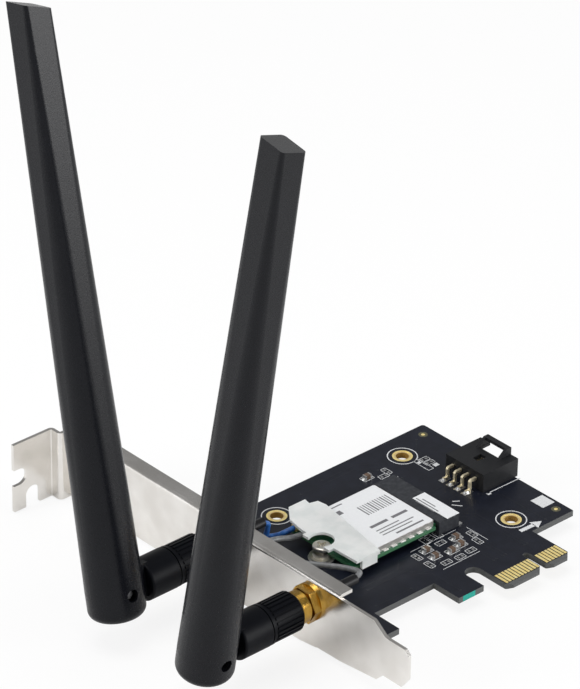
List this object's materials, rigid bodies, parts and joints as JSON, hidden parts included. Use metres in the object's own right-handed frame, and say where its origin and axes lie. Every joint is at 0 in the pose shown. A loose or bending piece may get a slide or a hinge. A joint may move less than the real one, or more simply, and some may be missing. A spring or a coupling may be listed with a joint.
{
  "type": "wireless network card",
  "caption": "Half-height wireless network card for a PCI Express slot, with socketed radio module, folded bracket, latched cable header and hinged rod antennas on threaded jacks.",
  "frame": {"origin": "component face of the carrier board, at the front edge of the edge-connector tongue, on the centre line of its key", "axes": "+X from the bracket to the rear edge, +Y from the tongue up the card, +Z out of the component face"},
  "size_m": [0.1194, 0.12, 0.1509],
  "materials": {
    "laminate": "satin solder mask",
    "gold": "gold plate",
    "nickel_steel": "nickel-plated sheet",
    "screw_steel": "bright zinc",
    "black_plastic": "fine texture",
    "header_plastic": "moulded",
    "socket_plastic": "moulded",
    "green_laminate": "satin solder mask",
    "can_metal": "tinned sheet",
    "label_paper": "matt",
    "clip_plastic": "natural, translucent",
    "brass": "turned",
    "white_insulator": "natural",
    "blue_jacket": "extruded",
    "grey_jacket": "extruded",
    "sleeve_rubber": "shrunk",
    "ceramic_brown": "fired",
    "tin": "tinned"
  },
  "bodies": {
    "card": {"carrier_board": "laminate", "edge_contacts": "gold", "hole_platings": "gold", "io_bracket": "nickel_steel", "bracket_screws": "screw_steel", "m2_socket": "socket_plastic", "socket_label": "label_paper", "module_board": "green_laminate", "shield_can": "can_metal", "module_label": "label_paper", "antenna_clip": "clip_plastic", "m2_screw": "screw_steel", "m2_standoff": "screw_steel", "coax_plugs": "gold", "coax_blue": "blue_jacket", "coax_grey": "grey_jacket", "jack_bodies": "gold", "jack_insulators": "white_insulator", "jack_pins": "gold", "jack_washers": "gold", "jack_nuts": "gold", "jack_sleeves": "sleeve_rubber", "header_housing": "header_plastic", "header_pins": "tin", "capacitor_bodies": "ceramic_brown", "capacitor_terminals": "tin"},
    "left_nut_unit": {"left_coupling_nut": "black_plastic", "left_nut_insert": "gold"},
    "left_elbow_unit": {"left_elbow": "black_plastic", "left_plug_core": "brass", "left_plug_insulator": "white_insulator", "left_plug_contact": "gold"},
    "left_mast_unit": {"left_mast": "black_plastic", "left_radiator": "brass", "left_hinge_pin": "screw_steel"},
    "right_nut_unit": {"right_coupling_nut": "black_plastic", "right_nut_insert": "gold"},
    "right_elbow_unit": {"right_elbow": "black_plastic", "right_plug_core": "brass", "right_plug_insulator": "white_insulator", "right_plug_contact": "gold"},
    "right_mast_unit": {"right_mast": "black_plastic", "right_radiator": "brass", "right_hinge_pin": "screw_steel"}
  },
  "joints": [
    {"name": "left_nut_spin", "type": "hinge", "parent": "card", "child": "left_nut_unit", "pos_m": [-0.06935, 0.048, 0.008], "axis": [1, 0, 0], "continuous": true},
    {"name": "left_elbow_swivel", "type": "hinge", "parent": "card", "child": "left_elbow_unit", "pos_m": [-0.0785, 0.048, 0.008], "axis": [1, 0, 0], "range_deg": [-168, 12]},
    {"name": "left_mast_tilt", "type": "hinge", "parent": "left_elbow_unit", "child": "left_mast_unit", "pos_m": [-0.09, 0.04819, 0.00888], "axis": [0, -0.9781, 0.2079], "range_deg": [0, 90.55]},
    {"name": "right_nut_spin", "type": "hinge", "parent": "card", "child": "right_nut_unit", "pos_m": [-0.06935, 0.0166, 0.008], "axis": [1, 0, 0], "continuous": true},
    {"name": "right_elbow_swivel", "type": "hinge", "parent": "card", "child": "right_elbow_unit", "pos_m": [-0.0785, 0.0166, 0.008], "axis": [1, 0, 0], "range_deg": [-9.9, 170.1]},
    {"name": "right_mast_tilt", "type": "hinge", "parent": "right_elbow_unit", "child": "right_mast_unit", "pos_m": [-0.09, 0.01645, 0.00889], "axis": [0, -0.9851, -0.1719], "range_deg": [0, 89.5]}
  ]
}
